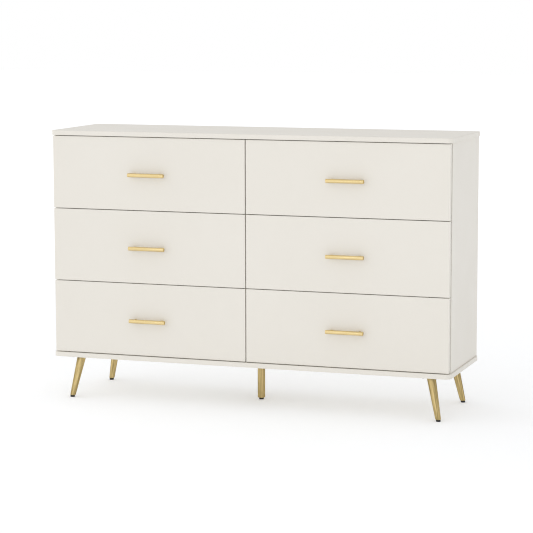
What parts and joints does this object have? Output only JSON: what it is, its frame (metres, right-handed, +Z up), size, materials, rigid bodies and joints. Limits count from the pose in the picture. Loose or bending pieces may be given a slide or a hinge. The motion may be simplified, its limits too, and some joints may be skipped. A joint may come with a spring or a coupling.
{
  "type": "dresser with drawers",
  "caption": "Low white dresser with overlay drawers in two columns, brass bar pulls and splayed tapered brass legs.",
  "frame": {"origin": "on the floor, under the middle of the whole piece with its pulls", "axes": "+X to the right along the front, +Y to the back, +Z up; the drawers open towards -Y"},
  "size_m": [1.4, 0.41, 0.92],
  "materials": {
    "white_lacquer": "satin off-white lacquer on board",
    "white_board": "matt off-white foil on board",
    "brass_plated_legs": "brushed champagne brass, streaks along the leg",
    "satin_brass": "satin brass",
    "black_plastic": "matt black",
    "zinc_steel": "bright zinc-plated steel",
    "beech": "bare beech"
  },
  "bodies": {
    "case": {"bottom_slab": "white_lacquer", "top_slab": "white_lacquer", "left_side_panel": "white_lacquer", "right_side_panel": "white_lacquer", "centre_divider": "white_lacquer", "left_back_panel": "white_board", "right_back_panel": "white_board", "front_left_leg": "brass_plated_legs", "front_right_leg": "brass_plated_legs", "back_left_leg": "brass_plated_legs", "back_right_leg": "brass_plated_legs", "centre_leg": "brass_plated_legs", "leg_glides": "black_plastic", "leg_plates": "zinc_steel", "case_runners": "zinc_steel", "case_screws": "zinc_steel", "cam_fittings": "zinc_steel", "wooden_dowels": "beech"},
    "bottom_left_drawer": {"bottom_left_drawer_front": "white_lacquer", "bottom_left_drawer_sides": "white_board", "bottom_left_drawer_back": "white_board", "bottom_left_drawer_bottom": "white_board", "bottom_left_drawer_pull": "satin_brass", "bottom_left_drawer_fittings": "zinc_steel", "bottom_left_drawer_runners": "zinc_steel"},
    "bottom_right_drawer": {"bottom_right_drawer_front": "white_lacquer", "bottom_right_drawer_sides": "white_board", "bottom_right_drawer_back": "white_board", "bottom_right_drawer_bottom": "white_board", "bottom_right_drawer_pull": "satin_brass", "bottom_right_drawer_fittings": "zinc_steel", "bottom_right_drawer_runners": "zinc_steel"},
    "middle_left_drawer": {"middle_left_drawer_front": "white_lacquer", "middle_left_drawer_sides": "white_board", "middle_left_drawer_back": "white_board", "middle_left_drawer_bottom": "white_board", "middle_left_drawer_pull": "satin_brass", "middle_left_drawer_fittings": "zinc_steel", "middle_left_drawer_runners": "zinc_steel"},
    "middle_right_drawer": {"middle_right_drawer_front": "white_lacquer", "middle_right_drawer_sides": "white_board", "middle_right_drawer_back": "white_board", "middle_right_drawer_bottom": "white_board", "middle_right_drawer_pull": "satin_brass", "middle_right_drawer_fittings": "zinc_steel", "middle_right_drawer_runners": "zinc_steel"},
    "top_left_drawer": {"top_left_drawer_front": "white_lacquer", "top_left_drawer_sides": "white_board", "top_left_drawer_back": "white_board", "top_left_drawer_bottom": "white_board", "top_left_drawer_pull": "satin_brass", "top_left_drawer_fittings": "zinc_steel", "top_left_drawer_runners": "zinc_steel"},
    "top_right_drawer": {"top_right_drawer_front": "white_lacquer", "top_right_drawer_sides": "white_board", "top_right_drawer_back": "white_board", "top_right_drawer_bottom": "white_board", "top_right_drawer_pull": "satin_brass", "top_right_drawer_fittings": "zinc_steel", "top_right_drawer_runners": "zinc_steel"}
  },
  "joints": [
    {"name": "bottom_left_drawer_slide", "type": "slide", "parent": "case", "child": "bottom_left_drawer", "axis": [0, -1, 0], "range_m": [0, 0.25]},
    {"name": "bottom_right_drawer_slide", "type": "slide", "parent": "case", "child": "bottom_right_drawer", "axis": [0, -1, 0], "range_m": [0, 0.25]},
    {"name": "middle_left_drawer_slide", "type": "slide", "parent": "case", "child": "middle_left_drawer", "axis": [0, -1, 0], "range_m": [0, 0.25]},
    {"name": "middle_right_drawer_slide", "type": "slide", "parent": "case", "child": "middle_right_drawer", "axis": [0, -1, 0], "range_m": [0, 0.25]},
    {"name": "top_left_drawer_slide", "type": "slide", "parent": "case", "child": "top_left_drawer", "axis": [0, -1, 0], "range_m": [0, 0.25]},
    {"name": "top_right_drawer_slide", "type": "slide", "parent": "case", "child": "top_right_drawer", "axis": [0, -1, 0], "range_m": [0, 0.25]}
  ]
}
